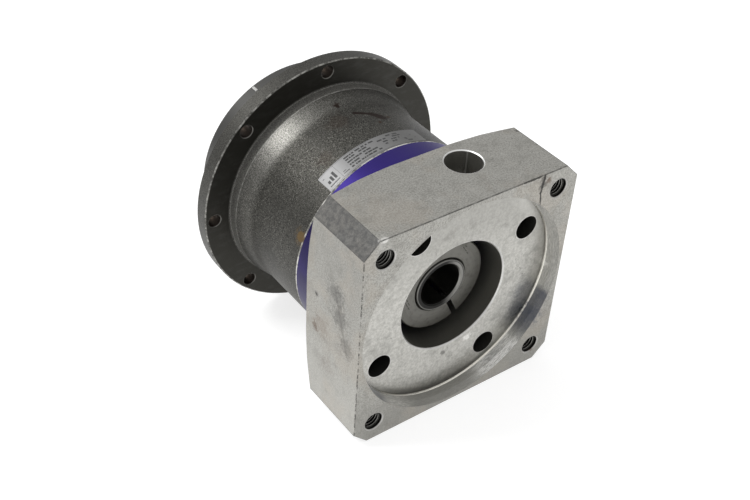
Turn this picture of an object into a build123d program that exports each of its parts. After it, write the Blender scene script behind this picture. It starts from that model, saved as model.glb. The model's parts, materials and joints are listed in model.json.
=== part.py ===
"""Inline planetary gear reducer with a round output flange and a square motor adapter.

Frame: the gearbox axis is Y. The output side faces +Y and the motor side faces -Y, +Z is up.
The origin is on the axis, in the output-side face of the round mounting flange. Millimetres.
"""
from build123d import *
from math import acos, cos, pi, radians, sin, sqrt, tan
import os

# ---------------------------------------------------------------- stations along the axis
FLANGE_FACE = 0.0
FLANGE_THICKNESS = 7.0
NOSE_LENGTH = 20.0
OUTPUT_FACE = 30.0
RING_BACK = -54.7          # joint between the intermediate ring and the housing
ADAPTER_BACK = -69.3       # joint between the adapter plate and the intermediate ring
ADAPTER_THICKNESS = 35.2
MOTOR_FACE = ADAPTER_BACK - ADAPTER_THICKNESS

EDGE = 0.5                 # usual edge chamfer
RUNNING = 0.05             # radial or axial clearance of a running fit
FILLING = 0.02             # clearance of rollers and screws in their seats
DRILL_POINT = 31.0         # degrees between a drill's cutting edge and the hole's bottom

# ---------------------------------------------------------------- screws
M5_SCREW = (2.5, 4.25, 5.0, 4.0)    # thread radius, head radius, head height, key width
M3_SCREW = (1.5, 2.75, 3.0, 2.5)

# ---------------------------------------------------------------- housing
BARREL_R = 45.0
SHOULDER_START = -20.6     # the barrel flares from here to the boss
BOSS_START = -11.8
BOSS_R = 47.2
SHOULDER_FILLET = 16.0
BOSS_FILLET = 0.4
BOSS_BASE_FILLET = 0.4
FLANGE_R = 59.0
FLANGE_HOLE_R = 2.75
FLANGE_HOLE_CHAMFER = 0.35
FLANGE_HOLE_CIRCLE_R = 54.5
FLANGE_HOLES = 8
MOUTH_R = 36.5
MOUTH_END = -47.5

# ---------------------------------------------------------------- adapter plate
PLATE_SIDE = 100.0
PLATE_CORNER = 6.4
PLATE_EDGE = 0.3
CORNER_BEVEL_R = (50.3, 57.5)          # the back corners are turned to two shallow cones
CORNER_BEVEL_SLOPE = (0.19, 0.32)      # that start at these radii and fall by these slopes
PILOT_R = 47.5
PILOT_DEPTH = 7.2
PILOT_LEAD_IN = 2.8        # the pilot's mouth is a slim cone of this length
PILOT_MOUTH_R = 48.3
PILOT_UNDERCUT = 1.0       # relief groove between the pilot's wall and floor
PILOT_UNDERCUT_R = 48.2
PLATE_BORE_R = 25.0
MOTOR_BOLT_CIRCLE_R = 57.5
MOTOR_BOLT_R = 4.0
MOTOR_BOLT_DEPTH = 22.0
PLATE_SCREW_CIRCLE_R = 39.6
PLATE_SCREW_START = 30.0   # degrees from +X towards +Z
COUNTERBORE_R = 5.2
COUNTERBORE_FLOOR = -79.0
PLATE_SCREW_HOLE_R = 2.75
PLATE_SCREW_LENGTH = 18.0
ACCESS_R = 7.55
ACCESS_CHAMFER = 0.4
ACCESS_X = 11.6
ACCESS_Y = -81.6

# ---------------------------------------------------------------- intermediate ring
RING_R = 45.2
RING_EDGE = 0.4
SPIGOT_FRONT = -73.5
SPIGOT_FRONT_R = PLATE_BORE_R - RUNNING
SPIGOT_BACK = -48.6
SPIGOT_BACK_R = MOUTH_R - RUNNING
SPIGOT_INNER_R = 32.5
O_RING_GROOVE = (-52.6, -50.4)
O_RING_GROOVE_R = 34.6
RING_SCREW_CIRCLE_R = 41.0
RING_SCREW_START = 7.5
RING_SCREWS = 8
RING_SCREW_SEAT = -65.8
RING_SCREW_ROOM_R = 2.9
RING_SCREW_HOLE_R = 1.6
RING_SCREW_LENGTH = 20.0
RING_SCREW_THREAD_DEPTH = 9.2
PLATE_SCREW_THREAD_DEPTH = 11.0

# ---------------------------------------------------------------- input shaft and its bearing
SLEEVE_FACE = -89.5
SLEEVE_R = 11.9
SLEEVE_EDGE = 0.2
SHAFT_BORE_R = 9.5
SHAFT_BORE_END = -61.0
SHAFT_BORE_CONE = 3.0
SEAL_LAND_R = 13.0
SEAL_LAND = (-73.5, -66.0)
JOURNAL_R = 12.5
JOURNAL_END = -54.3
SUN_NECK_R = 6.4
INPUT_BEARING = (-66.0, -57.0)
INPUT_BEARING_R = 21.0
INPUT_BALL_R = 2.5
INPUT_BALLS = 12
INPUT_SEAL = (-73.3, -67.0)
INPUT_SEAL_R = 18.0
INPUT_SEAL_STOP_R = 17.0
SLEEVE_SLOT = (-87.5, -75.5)
SLEEVE_SLOT_WIDTH = 2.0
SLEEVE_SLOTS = 3
BEARING_CLIP_THICKNESS = 1.75
BEARING_CLIP_GROOVE_R = 22.25
BEARING_CLIP_INNER_R = 19.0
SHAFT_CLIP_THICKNESS = 1.2
SHAFT_CLIP_GROOVE_R = 11.75
SHAFT_CLIP_OUTER_R = 14.0

# ---------------------------------------------------------------- clamp ring
CLAMP_FACE = -89.0
CLAMP_BACK = -74.5
CLAMP_R = 21.0
CLAMP_BORE_CHAMFER = 0.7
CLAMP_SLIT_WIDTH = 2.4
CLAMP_SLIT_ANGLE = -64.0   # degrees from +X towards +Z
CLAMP_SCREW_OFFSET = 16.5
CLAMP_SCREW_HEAD_ROOM_R = 4.35
CLAMP_SCREW_SEAT = 3.5
CLAMP_SCREW_LENGTH = 14.0

# ---------------------------------------------------------------- gears
MODULE = 0.9
PRESSURE_ANGLE = radians(20.0)
SUN_TEETH = 18
PLANET_TEETH = 27
RING_TEETH = 72
PLANETS = 3
FIRST_PLANET = 90.0        # degrees from +X towards +Z
BACKLASH = 0.06            # taken off every external tooth, added to every ring tooth space
ROOT_DEPTH = 1.25          # in modules
PLANET_ORBIT_R = MODULE * (SUN_TEETH + PLANET_TEETH) / 2
PLANET_SPAN = (-45.0, -25.0)
SUN_SPAN = (-46.0, -25.0)
RING_GEAR_SPAN = (-47.4, -22.5)
RING_GEAR_R = 36.0

# ---------------------------------------------------------------- planet supports
PIN_R = 4.5
PIN_SPAN = (-51.5, -18.8)
NEEDLE_R = 1.0
NEEDLES = 13
NEEDLE_SPAN = (-43.0, -27.0)
NEEDLE_CAGE_SPAN = (-44.6, -25.4)
WASHER_R = 9.0
WASHER_THICKNESS = 1.0
PLANET_BORE_R = PIN_R + 2 * NEEDLE_R

# ---------------------------------------------------------------- output carrier
WEB_R = 29.8
WEB_BACK = -24.0
INPUT_WEB = (-52.0, -46.0)
INPUT_WEB_BORE_R = 10.0
PILLAR_R = 6.3
SEAT_R = 30.0
NECK_R = 31.0
NECK_START = 8.0
OUTPUT_FLANGE_R = 31.5
OUTPUT_FLANGE_BACK = 21.5
OUTPUT_BORE_R = 15.75
OUTPUT_BORE_DEPTH = 6.0
HOLLOW_R = 10.0
HOLLOW_END = 2.0
OUTPUT_BOLT_CIRCLE_R = 25.0
OUTPUT_BOLT_R = 3.0
OUTPUT_BOLTS = 8
OUTPUT_BOLT_DEPTH = 12.0

# ---------------------------------------------------------------- output bearings, nut, seal
BEARING_OUTER_R = 39.0
OUTPUT_BEARING = (-2.0, 8.0)
REAR_BEARING = (-17.0, -7.0)
BEARING_SHOULDER_R = 34.5
BALL_R = 2.75
BALLS = 26
SPACER_R = 36.5
NUT_SPAN = (-21.5, -17.0)
NUT_R = 33.5
NUT_SLOTS = 4
NUT_SLOT_DEPTH = 1.5
NUT_SLOT_WIDTH = 4.0
HOUSING_CLIP_THICKNESS = 2.5
HOUSING_CLIP_GROOVE_R = 40.5
HOUSING_CLIP_INNER_R = 36.0
OUTPUT_SEAL = (11.0, 19.0)

# ---------------------------------------------------------------- name plate
LABEL_SPAN = (-54.1, -44.8)
LABEL_ANGLES = (69.0, 130.4)
LABEL_THICKNESS = 0.15


# ================================================================ helpers
def polar(radius, angle, y=0.0):
    """A place at a radius from the axis, its angle in degrees from +X towards +Z."""
    return Pos(radius * cos(radians(angle)), y, radius * sin(radians(angle)))


def turned(points):
    """A solid turned about Y from (radius, y) points joined by straight lines."""
    return revolve(make_face(Polyline(*points, close=True)), Axis.Y)


def sleeve(outer_r, inner_r, span):
    """A plain ring about Y."""
    start, end = span
    return turned([(inner_r, start), (outer_r, start), (outer_r, end), (inner_r, end)])


def rod(radius, span):
    """A plain cylinder about Y."""
    start, end = span
    return Pos(0, (start + end) / 2, 0) * Rot(90, 0, 0) * Cylinder(radius, end - start)


def along_y(sketch, span):
    """Extrude a sketch along Y, its own y axis pointing up."""
    start, end = span
    return Pos(0, end, 0) * Rot(90, 0, 0) * extrude(sketch, end - start)


def turn_to(angle, shape):
    """Turn a shape about Y so that what pointed along +X points at the angle."""
    return Rot(0, -angle, 0) * shape


def group(shapes):
    """Several separate solids as one node."""
    return Compound([solid for shape in shapes for solid in shape.solids()])


def around(shape, radius, start, count):
    """Copies of a shape in a circle about the axis."""
    return [polar(radius, start + index * 360 / count) * shape for index in range(count)]


def hole(radius, mouth, depth, chamfer=EDGE, inward=1):
    """A cutter for a blind hole along Y with a chamfered mouth and a drill point."""
    bottom = mouth + inward * depth
    drill_point = bottom + inward * radius * tan(radians(DRILL_POINT))
    return turned([
        (0, mouth - inward),
        (radius + chamfer + 1, mouth - inward),
        (radius, mouth + inward * chamfer),
        (radius, bottom),
        (0, drill_point),
    ])


def cap_screw(size, length):
    """A socket head cap screw, its head towards -Y and its seat at y = 0."""
    thread_r, head_r, head_height, key_width = size
    chamfer = thread_r * 0.15
    body = turned([
        (0, -head_height),
        (head_r - chamfer, -head_height),
        (head_r, chamfer - head_height),
        (head_r, 0),
        (thread_r - FILLING, 0),
        (thread_r - FILLING, length - chamfer),
        (thread_r - FILLING - chamfer, length),
        (0, length),
    ])
    socket = RegularPolygon(key_width / sqrt(3), 6)
    return body - along_y(socket, (-head_height, -head_height / 2))


def gear_sketch(teeth, tip_r, root_r, thickness):
    """The outline of an involute gear with one tooth centred on its x axis."""
    pitch_r = MODULE * teeth / 2
    base_r = pitch_r * cos(PRESSURE_ANGLE)
    at_pitch = thickness / (2 * pitch_r) + tan(PRESSURE_ANGLE) - PRESSURE_ANGLE
    flank_start = max(base_r, root_r)
    steps = 4

    def half_angle(radius):
        roll = acos(min(1.0, base_r / radius))
        return at_pitch - (tan(roll) - roll)

    def point(radius, angle):
        return (radius * cos(angle), radius * sin(angle))

    radii = [flank_start + (tip_r - flank_start) * step / steps for step in range(steps + 1)]
    edges = []
    for tooth in range(teeth):
        centre = 2 * pi * tooth / teeth
        foot = half_angle(flank_start)
        next_foot = centre + 2 * pi / teeth - foot
        rising = [point(radius, centre - half_angle(radius)) for radius in radii]
        falling = [point(radius, centre + half_angle(radius)) for radius in reversed(radii)]
        edges.append(Spline(*rising))
        edges.append(ThreePointArc(rising[-1], point(tip_r, centre), falling[0]))
        edges.append(Spline(*falling))
        root = point(root_r, centre + foot)
        next_root = point(root_r, next_foot)
        if root_r < base_r:
            edges.append(Line(falling[-1], root))
        edges.append(ThreePointArc(root, point(root_r, centre + pi / teeth), next_root))
        if root_r < base_r:
            edges.append(Line(next_root, point(flank_start, next_foot)))
    return make_face(edges)


def external_gear(teeth):
    """The outline of a sun or planet gear."""
    pitch_r = MODULE * teeth / 2
    thickness = MODULE * pi / 2 - BACKLASH
    return gear_sketch(teeth, pitch_r + MODULE, pitch_r - ROOT_DEPTH * MODULE, thickness)


def ball_circle(pitch_r, ball_r, count, y):
    """A full circle of balls."""
    return around(Pos(0, y, 0) * Sphere(ball_r), pitch_r, 0, count)


def ball_bearing(name, span, bore_r, outer_r, ball_r, balls):
    """The four nodes of a ball bearing: inner ring, outer ring, cage and balls."""
    pitch_r = (bore_r + outer_r) / 2
    middle = sum(span) / 2
    ball_path = turned_torus(pitch_r, ball_r + RUNNING, middle)
    gap = ball_r * 0.45
    cage_half = ball_r * 0.3
    cage_span = (middle - ball_r - 1, middle + ball_r + 1)
    cage = sleeve(pitch_r + cage_half, pitch_r - cage_half, cage_span)
    drill = Pos(pitch_r, middle, 0) * Rot(0, 90, 0) * Cylinder(ball_r + FILLING, 2 * ball_r)
    pockets = [turn_to(index * 360 / balls, drill) for index in range(balls)]
    return {
        f"{name}_inner_ring": sleeve(pitch_r - gap, bore_r, span) - ball_path,
        f"{name}_outer_ring": sleeve(outer_r, pitch_r + gap, span) - ball_path,
        f"{name}_cage": cage - pockets,
        f"{name}_balls": group(ball_circle(pitch_r, ball_r, balls, middle)),
    }


def turned_torus(major_r, minor_r, y):
    """A torus about Y."""
    return Pos(0, y, 0) * Rot(90, 0, 0) * Torus(major_r, minor_r)


def shaft_seal(outer_r, shaft_r, span):
    """A radial shaft seal: a cased ring with a cavity behind its lip and a dust lip."""
    start, end = span
    wall = 1.2
    lip_r = shaft_r + RUNNING
    relief_r = shaft_r + wall
    middle = (start + end) / 2
    return turned([
        (outer_r, start),
        (outer_r, end),
        (relief_r + wall / 2, end),
        (lip_r, end - wall / 2),
        (lip_r, end - wall),
        (relief_r, middle + wall / 2),
        (relief_r, middle),
        (lip_r, middle - wall),
        (lip_r, middle - 2 * wall),
        (relief_r, middle - 2 * wall),
        (outer_r - wall, middle - wall),
        (outer_r - wall, start),
    ])


def circlip(inner_r, outer_r, span, gap_angle, lugs_inside):
    """An open retaining ring with two eyes, its gap at the angle."""
    width = outer_r - inner_r
    eye_r = width * 0.62
    eye_hole_r = eye_r * 0.45
    eye_place_r = inner_r if lugs_inside else outer_r
    eye_angle = 9.0 if outer_r > SEAT_R else 15.0
    body = sleeve(outer_r, inner_r, span)
    wedge_half = tan(radians(eye_angle)) * outer_r * 0.8
    wedge = Polyline((0, 0), (outer_r * 2, wedge_half), (outer_r * 2, -wedge_half), close=True)
    body -= along_y(make_face(wedge), span)
    for side in (-eye_angle, eye_angle):
        body += polar(eye_place_r, side) * rod(eye_r, span)
    for side in (-eye_angle, eye_angle):
        body -= polar(eye_place_r, side) * rod(eye_hole_r, span)
    return turn_to(gap_angle, body)


# ================================================================ fixed parts
def corner_bevel():
    """A cutter that turns the four back corners of the plate to two shallow cones."""
    inner_r, middle_r = CORNER_BEVEL_R
    outside_r = PLATE_SIDE
    middle = ADAPTER_BACK - CORNER_BEVEL_SLOPE[0] * (middle_r - inner_r)
    outside = middle - CORNER_BEVEL_SLOPE[1] * (outside_r - middle_r)
    return turned([
        (inner_r, ADAPTER_BACK),
        (middle_r, middle),
        (outside_r, outside),
        (outside_r, ADAPTER_BACK),
    ])


def adapter_plate():
    """Square plate with the motor pilot, the central bore and all of its holes."""
    outline = chamfer(Rectangle(PLATE_SIDE, PLATE_SIDE).vertices(), PLATE_CORNER)
    plate = along_y(outline, (MOTOR_FACE, ADAPTER_BACK))
    rims = plate.faces().sort_by(Axis.Y)[0].edges() + plate.faces().sort_by(Axis.Y)[-1].edges()
    plate = chamfer(rims, PLATE_EDGE)
    plate -= corner_bevel()
    floor = MOTOR_FACE + PILOT_DEPTH
    plate -= turned([
        (0, MOTOR_FACE),
        (PILOT_MOUTH_R, MOTOR_FACE),
        (PILOT_R, MOTOR_FACE + PILOT_LEAD_IN),
        (PILOT_R, floor - PILOT_UNDERCUT),
        (PILOT_UNDERCUT_R, floor - PILOT_UNDERCUT),
        (PILOT_UNDERCUT_R, floor),
        (PLATE_BORE_R + EDGE, floor),
        (PLATE_BORE_R, floor + EDGE),
        (PLATE_BORE_R, ADAPTER_BACK + 1),
        (0, ADAPTER_BACK + 1),
    ])
    motor_hole = hole(MOTOR_BOLT_R, MOTOR_FACE, MOTOR_BOLT_DEPTH)
    plate -= around(motor_hole, MOTOR_BOLT_CIRCLE_R, 45, 4)
    screw_hole = rod(COUNTERBORE_R, (floor - 1, COUNTERBORE_FLOOR))
    screw_hole += rod(PLATE_SCREW_HOLE_R, (COUNTERBORE_FLOOR, ADAPTER_BACK))
    plate -= around(screw_hole, PLATE_SCREW_CIRCLE_R, PLATE_SCREW_START, 4)
    top = PLATE_SIDE / 2
    access = Pos(ACCESS_X, ACCESS_Y, top / 2) * Cylinder(ACCESS_R, top)
    mouth_r = ACCESS_R + 2 * ACCESS_CHAMFER
    mouth = Pos(ACCESS_X, ACCESS_Y, top) * Cone(ACCESS_R, mouth_r, 2 * ACCESS_CHAMFER)
    return plate - access - mouth


def adapter_screws():
    """M5 socket head cap screws at the bottom of the counterbores."""
    screw = Pos(0, COUNTERBORE_FLOOR, 0) * cap_screw(M5_SCREW, PLATE_SCREW_LENGTH)
    return group(around(screw, PLATE_SCREW_CIRCLE_R, PLATE_SCREW_START, 4))


def intermediate_ring():
    """Ring that carries the input bearing and seal and joins the plate to the housing."""
    clip_end = INPUT_BEARING[1] + BEARING_CLIP_THICKNESS + RUNNING
    body = turned([
        (INPUT_SEAL_R, SPIGOT_FRONT),
        (SPIGOT_FRONT_R, SPIGOT_FRONT),
        (SPIGOT_FRONT_R, ADAPTER_BACK),
        (RING_R - RING_EDGE, ADAPTER_BACK),
        (RING_R, ADAPTER_BACK + RING_EDGE),
        (RING_R, RING_BACK - RING_EDGE),
        (RING_R - RING_EDGE, RING_BACK),
        (SPIGOT_BACK_R, RING_BACK),
        (SPIGOT_BACK_R, O_RING_GROOVE[0]),
        (O_RING_GROOVE_R, O_RING_GROOVE[0]),
        (O_RING_GROOVE_R, O_RING_GROOVE[1]),
        (SPIGOT_BACK_R, O_RING_GROOVE[1]),
        (SPIGOT_BACK_R, SPIGOT_BACK),
        (SPIGOT_INNER_R, SPIGOT_BACK),
        (SPIGOT_INNER_R, RING_BACK),
        (INPUT_BEARING_R, RING_BACK),
        (INPUT_BEARING_R, clip_end),
        (BEARING_CLIP_GROOVE_R, clip_end),
        (BEARING_CLIP_GROOVE_R, INPUT_BEARING[1]),
        (INPUT_BEARING_R, INPUT_BEARING[1]),
        (INPUT_BEARING_R, INPUT_BEARING[0]),
        (INPUT_SEAL_STOP_R, INPUT_BEARING[0]),
        (INPUT_SEAL_STOP_R, INPUT_SEAL[1]),
        (INPUT_SEAL_R, INPUT_SEAL[1]),
    ])
    thread = hole(M5_SCREW[0], ADAPTER_BACK, PLATE_SCREW_THREAD_DEPTH)
    body -= around(thread, PLATE_SCREW_CIRCLE_R, PLATE_SCREW_START, 4)
    screw_hole = rod(RING_SCREW_ROOM_R, (ADAPTER_BACK, RING_SCREW_SEAT))
    screw_hole += rod(RING_SCREW_HOLE_R, (RING_SCREW_SEAT, RING_BACK))
    return body - around(screw_hole, RING_SCREW_CIRCLE_R, RING_SCREW_START, RING_SCREWS)


def ring_screws():
    """M3 socket head cap screws from the intermediate ring into the housing."""
    screw = Pos(0, RING_SCREW_SEAT, 0) * cap_screw(M3_SCREW, RING_SCREW_LENGTH)
    return group(around(screw, RING_SCREW_CIRCLE_R, RING_SCREW_START, RING_SCREWS))


def flange_hole(flange_back):
    """A cutter for a through hole of the mounting flange, chamfered at both faces."""
    mouth_r = FLANGE_HOLE_R + FLANGE_HOLE_CHAMFER
    return turned([
        (0, flange_back),
        (mouth_r, flange_back),
        (FLANGE_HOLE_R, flange_back + FLANGE_HOLE_CHAMFER),
        (FLANGE_HOLE_R, FLANGE_FACE - FLANGE_HOLE_CHAMFER),
        (mouth_r, FLANGE_FACE),
        (0, FLANGE_FACE),
    ])


def housing():
    """Cast barrel with a flared shoulder, a round flange and a long centring nose."""
    flange_back = FLANGE_FACE - FLANGE_THICKNESS
    nose_end = FLANGE_FACE + NOSE_LENGTH
    clip_end = NECK_START + HOUSING_CLIP_THICKNESS + RUNNING
    profile = make_face(Polyline(
        (MOUTH_R, RING_BACK),
        (BARREL_R - EDGE, RING_BACK),
        (BARREL_R, RING_BACK + EDGE),
        (BARREL_R, SHOULDER_START),
        (BOSS_R, BOSS_START),
        (BOSS_R, flange_back),
        (FLANGE_R - EDGE, flange_back),
        (FLANGE_R, flange_back + EDGE),
        (FLANGE_R, FLANGE_FACE - EDGE),
        (FLANGE_R - EDGE, FLANGE_FACE),
        (BARREL_R, FLANGE_FACE),
        (BARREL_R, nose_end - EDGE),
        (BARREL_R - EDGE, nose_end),
        (BEARING_OUTER_R, nose_end),
        (BEARING_OUTER_R, clip_end),
        (HOUSING_CLIP_GROOVE_R, clip_end),
        (HOUSING_CLIP_GROOVE_R, NECK_START),
        (BEARING_OUTER_R, NECK_START),
        (BEARING_OUTER_R, REAR_BEARING[0]),
        (BEARING_SHOULDER_R, REAR_BEARING[0]),
        (BEARING_SHOULDER_R, RING_GEAR_SPAN[1]),
        (RING_GEAR_R, RING_GEAR_SPAN[1]),
        (RING_GEAR_R, MOUTH_END),
        (MOUTH_R, MOUTH_END),
        close=True,
    ))
    rounded = {
        (BARREL_R, SHOULDER_START): SHOULDER_FILLET,
        (BOSS_R, BOSS_START): BOSS_FILLET,
        (BOSS_R, flange_back): BOSS_BASE_FILLET,
    }
    for corner, radius in rounded.items():
        profile = fillet(profile.vertices().sort_by_distance(corner)[0], radius)
    body = revolve(profile, Axis.Y)
    body -= around(flange_hole(flange_back), FLANGE_HOLE_CIRCLE_R, 0, FLANGE_HOLES)
    thread = hole(M3_SCREW[0], RING_BACK, RING_SCREW_THREAD_DEPTH)
    return body - around(thread, RING_SCREW_CIRCLE_R, RING_SCREW_START, RING_SCREWS)


def ring_gear():
    """Internal gear pressed into the housing."""
    pitch_r = MODULE * RING_TEETH / 2
    space = gear_sketch(
        RING_TEETH,
        pitch_r + ROOT_DEPTH * MODULE,
        pitch_r - MODULE,
        MODULE * pi / 2 + BACKLASH,
    )
    return along_y(Circle(RING_GEAR_R) - space, RING_GEAR_SPAN)


def housing_o_ring():
    """O-ring between the intermediate ring and the housing mouth."""
    minor_r = (MOUTH_R - O_RING_GROOVE_R) / 2 - FILLING
    return turned_torus((MOUTH_R + O_RING_GROOVE_R) / 2, minor_r, sum(O_RING_GROOVE) / 2)


def name_plate():
    """Thin foil label bent round the barrel."""
    profile = Polyline(
        (BARREL_R, LABEL_SPAN[0]),
        (BARREL_R + LABEL_THICKNESS, LABEL_SPAN[0]),
        (BARREL_R + LABEL_THICKNESS, LABEL_SPAN[1]),
        (BARREL_R, LABEL_SPAN[1]),
        close=True,
    )
    band = revolve(make_face(profile), Axis.Y, revolution_arc=LABEL_ANGLES[1] - LABEL_ANGLES[0])
    return turn_to(LABEL_ANGLES[1], band)


# ================================================================ input side
def input_shaft():
    """Clamping sleeve, seal land, bearing journal and sun gear in one piece."""
    clip_end = INPUT_BEARING[1] + SHAFT_CLIP_THICKNESS + RUNNING
    body = turned([
        (SHAFT_BORE_R + EDGE, SLEEVE_FACE),
        (SLEEVE_R - SLEEVE_EDGE, SLEEVE_FACE),
        (SLEEVE_R, SLEEVE_FACE + SLEEVE_EDGE),
        (SLEEVE_R, SEAL_LAND[0]),
        (SEAL_LAND_R, SEAL_LAND[0]),
        (SEAL_LAND_R, SEAL_LAND[1]),
        (JOURNAL_R, SEAL_LAND[1]),
        (JOURNAL_R, INPUT_BEARING[1]),
        (SHAFT_CLIP_GROOVE_R, INPUT_BEARING[1]),
        (SHAFT_CLIP_GROOVE_R, clip_end),
        (JOURNAL_R, clip_end),
        (JOURNAL_R, JOURNAL_END - EDGE),
        (JOURNAL_R - EDGE, JOURNAL_END),
        (SUN_NECK_R, JOURNAL_END),
        (SUN_NECK_R, SUN_SPAN[0]),
        (0, SUN_SPAN[0]),
        (0, SHAFT_BORE_END + SHAFT_BORE_CONE),
        (SHAFT_BORE_R, SHAFT_BORE_END),
        (SHAFT_BORE_R, SLEEVE_FACE + EDGE),
    ])
    slot_middle = sum(SLEEVE_SLOT) / 2
    slot = Box(SLEEVE_R, SLEEVE_SLOT[1] - SLEEVE_SLOT[0], SLEEVE_SLOT_WIDTH)
    for index in range(SLEEVE_SLOTS):
        angle = CLAMP_SLIT_ANGLE + index * 360 / SLEEVE_SLOTS
        body -= turn_to(angle, Pos(SLEEVE_R, slot_middle, 0) * slot)
    sun = along_y(external_gear(SUN_TEETH), SUN_SPAN)
    return body + turn_to(FIRST_PLANET, sun)


def clamp_ring():
    """Split ring that squeezes the sleeve on the motor shaft."""
    bore_r = SLEEVE_R + RUNNING
    body = turned([
        (bore_r + CLAMP_BORE_CHAMFER, CLAMP_FACE),
        (CLAMP_R - EDGE, CLAMP_FACE),
        (CLAMP_R, CLAMP_FACE + EDGE),
        (CLAMP_R, CLAMP_BACK - EDGE),
        (CLAMP_R - EDGE, CLAMP_BACK),
        (bore_r, CLAMP_BACK),
        (bore_r, CLAMP_FACE + CLAMP_BORE_CHAMFER),
    ])
    middle = (CLAMP_FACE + CLAMP_BACK) / 2
    body -= Pos(CLAMP_R, middle, 0) * Box(2 * CLAMP_R, CLAMP_R, CLAMP_SLIT_WIDTH)
    body -= Pos(CLAMP_SCREW_OFFSET, middle, 0) * Cylinder(M5_SCREW[0], 2 * CLAMP_R)
    head_room = CLAMP_R - CLAMP_SCREW_SEAT
    seat = Cylinder(CLAMP_SCREW_HEAD_ROOM_R, head_room)
    body -= Pos(CLAMP_SCREW_OFFSET, middle, CLAMP_SCREW_SEAT + head_room / 2) * seat
    return turn_to(CLAMP_SLIT_ANGLE, body)


def clamp_screw():
    """M5 socket head cap screw across the slit of the clamp ring."""
    screw = Rot(-90, 0, 0) * cap_screw(M5_SCREW, CLAMP_SCREW_LENGTH)
    middle = (CLAMP_FACE + CLAMP_BACK) / 2
    return turn_to(CLAMP_SLIT_ANGLE, Pos(CLAMP_SCREW_OFFSET, middle, CLAMP_SCREW_SEAT) * screw)


def bearing_retaining_ring():
    """Circlip in the intermediate ring, behind the input bearing's outer ring."""
    start = INPUT_BEARING[1]
    span = (start, start + BEARING_CLIP_THICKNESS)
    return circlip(BEARING_CLIP_INNER_R, BEARING_CLIP_GROOVE_R - FILLING, span, -90, True)


def shaft_retaining_ring():
    """Circlip on the input shaft, behind the input bearing's inner ring."""
    start = INPUT_BEARING[1]
    span = (start, start + SHAFT_CLIP_THICKNESS)
    return circlip(SHAFT_CLIP_GROOVE_R + FILLING, SHAFT_CLIP_OUTER_R, span, 90, False)


# ================================================================ planet stage
def planet_angle(index):
    return FIRST_PLANET + index * 360 / PLANETS


def planet_gear(index):
    """Planet gear, turned so that a tooth space faces the sun's tooth."""
    phase = planet_angle(index) + 180 + 180 / PLANET_TEETH
    gear = along_y(external_gear(PLANET_TEETH), PLANET_SPAN)
    blank = turn_to(phase, gear) - rod(PLANET_BORE_R, PLANET_SPAN)
    return polar(PLANET_ORBIT_R, planet_angle(index)) * blank


def planet_pin(index):
    """Planet pin with chamfered ends, through the input web into the carrier."""
    start, end = PIN_SPAN
    pin = turned([
        (0, start),
        (PIN_R - EDGE, start),
        (PIN_R, start + EDGE),
        (PIN_R, end - EDGE),
        (PIN_R - EDGE, end),
        (0, end),
    ])
    return polar(PLANET_ORBIT_R, planet_angle(index)) * pin


def needle_rollers(index):
    """Needle rollers between a planet gear and its pin."""
    needle = rod(NEEDLE_R - FILLING, NEEDLE_SPAN)
    circle = around(needle, PIN_R + NEEDLE_R, 0, NEEDLES)
    return polar(PLANET_ORBIT_R, planet_angle(index)) * group(circle)


def needle_cage(index):
    """Thin cage with a pocket for each needle."""
    middle_r = PIN_R + NEEDLE_R
    cage = sleeve(middle_r + NEEDLE_R * 0.6, middle_r - NEEDLE_R * 0.6, NEEDLE_CAGE_SPAN)
    pocket_span = (NEEDLE_SPAN[0] - FILLING, NEEDLE_SPAN[1] + FILLING)
    cage -= around(rod(NEEDLE_R, pocket_span), middle_r, 0, NEEDLES)
    return polar(PLANET_ORBIT_R, planet_angle(index)) * cage


def planet_washers(index):
    """Thrust washers at both ends of a planet gear."""
    front_span = (PLANET_SPAN[0] - WASHER_THICKNESS, PLANET_SPAN[0] - RUNNING)
    back_span = (PLANET_SPAN[1] + RUNNING, PLANET_SPAN[1] + WASHER_THICKNESS)
    pair = [sleeve(WASHER_R, PIN_R + FILLING, span) for span in (front_span, back_span)]
    return polar(PLANET_ORBIT_R, planet_angle(index)) * group(pair)


def output_carrier():
    """Planet carrier and output flange in one piece."""
    thread_start = REAR_BEARING[0]
    body = turned([
        (0, WEB_BACK),
        (WEB_R, WEB_BACK),
        (WEB_R, thread_start),
        (SEAT_R, thread_start),
        (SEAT_R, NECK_START),
        (NECK_R, NECK_START),
        (NECK_R, OUTPUT_FLANGE_BACK),
        (OUTPUT_FLANGE_R, OUTPUT_FLANGE_BACK + EDGE),
        (OUTPUT_FLANGE_R, OUTPUT_FACE - EDGE),
        (OUTPUT_FLANGE_R - EDGE, OUTPUT_FACE),
        (OUTPUT_BORE_R + EDGE, OUTPUT_FACE),
        (OUTPUT_BORE_R, OUTPUT_FACE - EDGE),
        (OUTPUT_BORE_R, OUTPUT_FACE - OUTPUT_BORE_DEPTH),
        (HOLLOW_R, OUTPUT_FACE - OUTPUT_BORE_DEPTH),
        (HOLLOW_R, HOLLOW_END),
        (0, HOLLOW_END),
    ])
    input_web = sleeve(WEB_R, INPUT_WEB_BORE_R, INPUT_WEB)
    pillar = rod(PILLAR_R, (INPUT_WEB[0], WEB_BACK + 1))
    body += input_web
    body += around(pillar, PLANET_ORBIT_R, FIRST_PLANET + 180 / PLANETS, PLANETS)
    pin_hole = rod(PIN_R, (INPUT_WEB[0], PIN_SPAN[1] + EDGE))
    body -= around(pin_hole, PLANET_ORBIT_R, FIRST_PLANET, PLANETS)
    tapped = hole(OUTPUT_BOLT_R, OUTPUT_FACE, OUTPUT_BOLT_DEPTH, inward=-1)
    return body - around(tapped, OUTPUT_BOLT_CIRCLE_R, 0, OUTPUT_BOLTS)


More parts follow.
